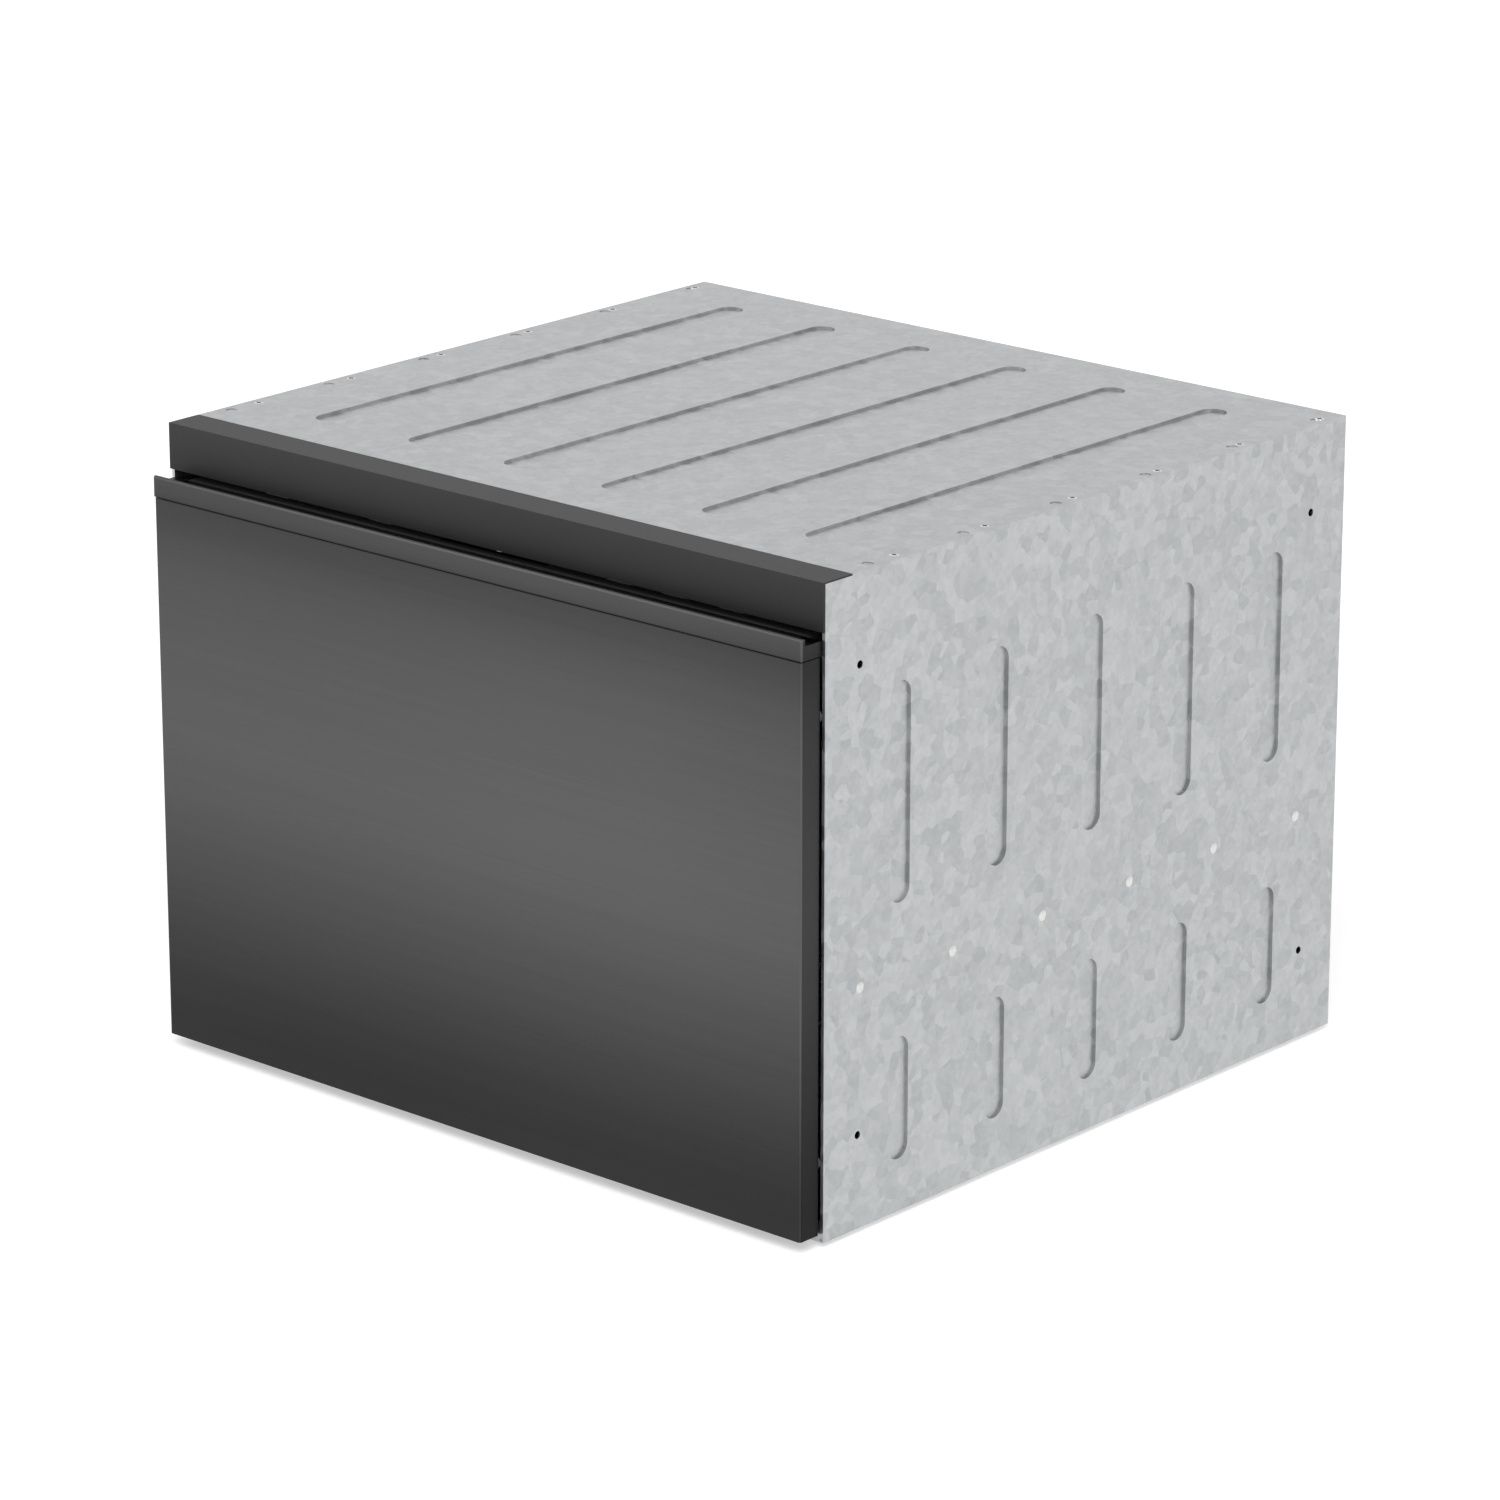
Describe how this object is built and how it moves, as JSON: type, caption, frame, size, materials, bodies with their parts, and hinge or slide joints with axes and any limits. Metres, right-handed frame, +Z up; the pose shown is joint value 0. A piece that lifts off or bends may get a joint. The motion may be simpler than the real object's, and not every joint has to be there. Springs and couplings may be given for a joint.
{
  "type": "dishwasher drawer",
  "caption": "Built-in dishwasher drawer: steel chassis on pads, roll-out wash tub with racks and spray arm, drop-down lid, and a tall dark steel front with a finger grip along its top.",
  "frame": {"origin": "middle of the bounding box in X and Y at the underside of the pads", "axes": "+X to the right of someone facing the drawer, -Y towards that person, +Z up"},
  "size_m": [0.599, 0.573, 0.454],
  "materials": {
    "dark_steel": "horizontally brushed, dark coated stainless",
    "dark_trim": "satin dark grey",
    "galvanised": "zinc-coated sheet",
    "runner_steel": "bright zinc",
    "rack_wire": "grey nylon-coated wire",
    "tub_grey": "satin moulded polypropylene",
    "white_plastic": "satin moulded",
    "grey_plastic": "fine texture",
    "dark_plastic": "fine texture",
    "seal_rubber": "matte",
    "display_glass": "polished smoked",
    "circuit_board": "lacquered laminate",
    "hose_grey": "ribbed hose",
    "cap_blue": "satin",
    "screw_steel": "zinc-plated"
  },
  "bodies": {
    "chassis": {"side_panel_left": "galvanised", "side_panel_right": "galvanised", "base_tray": "galvanised", "rear_panel": "galvanised", "top_cover": "galvanised", "top_fascia": "dark_trim", "base_pads": "seal_rubber", "rear_screws": "screw_steel", "inlet_valve": "white_plastic", "drain_outlet": "grey_plastic", "power_inlet": "dark_plastic", "runner_outer_left": "runner_steel", "runner_outer_right": "runner_steel", "lid_actuator_left": "dark_plastic", "lid_actuator_right": "dark_plastic"},
    "drawer": {"tub": "tub_grey", "runner_inner_left": "runner_steel", "runner_inner_right": "runner_steel", "front_carrier": "galvanised", "front_panel": "dark_steel", "grip_strip": "dark_steel", "console": "dark_plastic", "display_window": "display_glass", "control_board": "circuit_board", "wash_motor": "dark_plastic", "heater_ring": "runner_steel", "drain_pump": "dark_plastic", "drain_hose": "hose_grey", "filter_plate": "grey_plastic", "spray_arm_cap": "dark_plastic", "dispenser_body": "white_plastic", "drying_fan": "dark_plastic", "link_bracket": "galvanised", "base_rack": "rack_wire", "rack_clips": "dark_plastic", "cutlery_basket": "grey_plastic"},
    "lid": {"lid_shell": "tub_grey", "lid_seal": "seal_rubber", "lid_rack_left": "white_plastic", "lid_rack_right": "white_plastic"},
    "runner_middle_left": {"runner_middle_left": "runner_steel"},
    "runner_middle_right": {"runner_middle_right": "runner_steel"},
    "lid_pinion_left": {"lid_pinion_left": "white_plastic"},
    "lid_pinion_right": {"lid_pinion_right": "white_plastic"},
    "link_arm_lower": {"link_arm_lower": "dark_plastic"},
    "link_arm_upper": {"link_arm_upper": "dark_plastic"},
    "rotor": {"rotor": "white_plastic"},
    "spray_arm": {"spray_arm": "grey_plastic"},
    "drain_filter": {"drain_filter": "grey_plastic"},
    "dispenser_door": {"dispenser_door": "grey_plastic"},
    "rinse_cap": {"rinse_cap": "cap_blue"},
    "tine_row_front": {"tine_row_front": "rack_wire"},
    "tine_row_rear": {"tine_row_rear": "rack_wire"},
    "cup_shelf_left": {"cup_shelf_left": "rack_wire"},
    "cup_shelf_right": {"cup_shelf_right": "rack_wire"},
    "button_power": {"button_power": "grey_plastic"},
    "button_program": {"button_program": "grey_plastic"},
    "button_option": {"button_option": "grey_plastic"},
    "button_lock": {"button_lock": "grey_plastic"},
    "button_start": {"button_start": "grey_plastic"}
  },
  "joints": [
    {"name": "drawer_slide", "type": "slide", "parent": "chassis", "child": "drawer", "axis": [0, -1, 0], "range_m": [0, 0.51]},
    {"name": "runner_middle_left_slide", "type": "slide", "parent": "chassis", "child": "runner_middle_left", "axis": [0, -1, 0], "range_m": [0, 0.256]},
    {"name": "runner_middle_right_slide", "type": "slide", "parent": "chassis", "child": "runner_middle_right", "axis": [0, -1, 0], "range_m": [0, 0.256]},
    {"name": "lid_lower", "type": "slide", "parent": "chassis", "child": "lid", "axis": [0, 0, -1], "range_m": [0, 0.014]},
    {"name": "lid_pinion_left_turn", "type": "hinge", "parent": "chassis", "child": "lid_pinion_left", "pos_m": [-0.29, -0.0397, 0.4173], "axis": [1, 0, 0], "range_deg": [0, 68]},
    {"name": "lid_pinion_right_turn", "type": "hinge", "parent": "chassis", "child": "lid_pinion_right", "pos_m": [0.29, -0.0397, 0.4173], "axis": [1, 0, 0], "range_deg": [0, 68]},
    {"name": "link_shoulder", "type": "hinge", "parent": "chassis", "child": "link_arm_lower", "pos_m": [-0.15, -0.0477, 0.015], "axis": [0, 0, 1], "range_deg": [-51, 0.3]},
    {"name": "link_elbow", "type": "hinge", "parent": "link_arm_lower", "child": "link_arm_upper", "pos_m": [0.12156, 0.0798, 0.03], "axis": [0, 0, 1], "range_deg": [-0.6, 101.5]},
    {"name": "rotor_spin", "type": "hinge", "parent": "drawer", "child": "rotor", "pos_m": [0, 0.0124, 0.074], "axis": [0, 0, 1], "continuous": true},
    {"name": "spray_arm_spin", "type": "hinge", "parent": "drawer", "child": "spray_arm", "pos_m": [0, 0.0124, 0.103], "axis": [0, 0, 1], "continuous": true},
    {"name": "drain_filter_turn", "type": "hinge", "parent": "drawer", "child": "drain_filter", "pos_m": [0.15, -0.1056, 0.088], "axis": [0, 0, 1], "range_deg": [0, 90]},
    {"name": "dispenser_door_hinge", "type": "hinge", "parent": "drawer", "child": "dispenser_door", "pos_m": [-0.056, -0.213, 0.274], "axis": [-1, 0, 0], "range_deg": [0, 100]},
    {"name": "rinse_cap_turn", "type": "hinge", "parent": "drawer", "child": "rinse_cap", "pos_m": [0.025, -0.2155, 0.306], "axis": [0, 1, 0], "range_deg": [0, 90]},
    {"name": "tine_row_front_fold", "type": "hinge", "parent": "drawer", "child": "tine_row_front", "pos_m": [0, -0.1335, 0.1425], "axis": [-1, 0, 0], "range_deg": [0, 86]},
    {"name": "tine_row_rear_fold", "type": "hinge", "parent": "drawer", "child": "tine_row_rear", "pos_m": [0, -0.0155, 0.1425], "axis": [-1, 0, 0], "range_deg": [0, 86]},
    {"name": "cup_shelf_left_fold", "type": "hinge", "parent": "drawer", "child": "cup_shelf_left", "pos_m": [-0.247, -0.0445, 0.233], "axis": [0, -1, 0], "range_deg": [0, 88]},
    {"name": "cup_shelf_right_fold", "type": "hinge", "parent": "drawer", "child": "cup_shelf_right", "pos_m": [0.247, -0.0445, 0.233], "axis": [0, 1, 0], "range_deg": [0, 88]},
    {"name": "button_power_press", "type": "slide", "parent": "drawer", "child": "button_power", "axis": [0, 0, -1], "range_m": [0, 0.001], "stiffness_N_per_m": 600, "springref_m": -0.0005},
    {"name": "button_program_press", "type": "slide", "parent": "drawer", "child": "button_program", "axis": [0, 0, -1], "range_m": [0, 0.001], "stiffness_N_per_m": 600, "springref_m": -0.0005},
    {"name": "button_option_press", "type": "slide", "parent": "drawer", "child": "button_option", "axis": [0, 0, -1], "range_m": [0, 0.001], "stiffness_N_per_m": 600, "springref_m": -0.0005},
    {"name": "button_lock_press", "type": "slide", "parent": "drawer", "child": "button_lock", "axis": [0, 0, -1], "range_m": [0, 0.001], "stiffness_N_per_m": 600, "springref_m": -0.0005},
    {"name": "button_start_press", "type": "slide", "parent": "drawer", "child": "button_start", "axis": [0, 0, -1], "range_m": [0, 0.001], "stiffness_N_per_m": 600, "springref_m": -0.0005}
  ],
  "couplings": [
    {"joint": "runner_middle_left_slide", "follows": "drawer_slide", "ratio": 0.5},
    {"joint": "runner_middle_right_slide", "follows": "drawer_slide", "ratio": 0.5},
    {"joint": "link_shoulder", "follows": "drawer_slide", "rad_per_m": -1.7214},
    {"joint": "link_elbow", "follows": "drawer_slide", "rad_per_m": 3.4428},
    {"joint": "lid_pinion_left_turn", "follows": "lid_lower", "rad_per_m": 83.333},
    {"joint": "lid_pinion_right_turn", "follows": "lid_lower", "rad_per_m": 83.333}
  ]
}
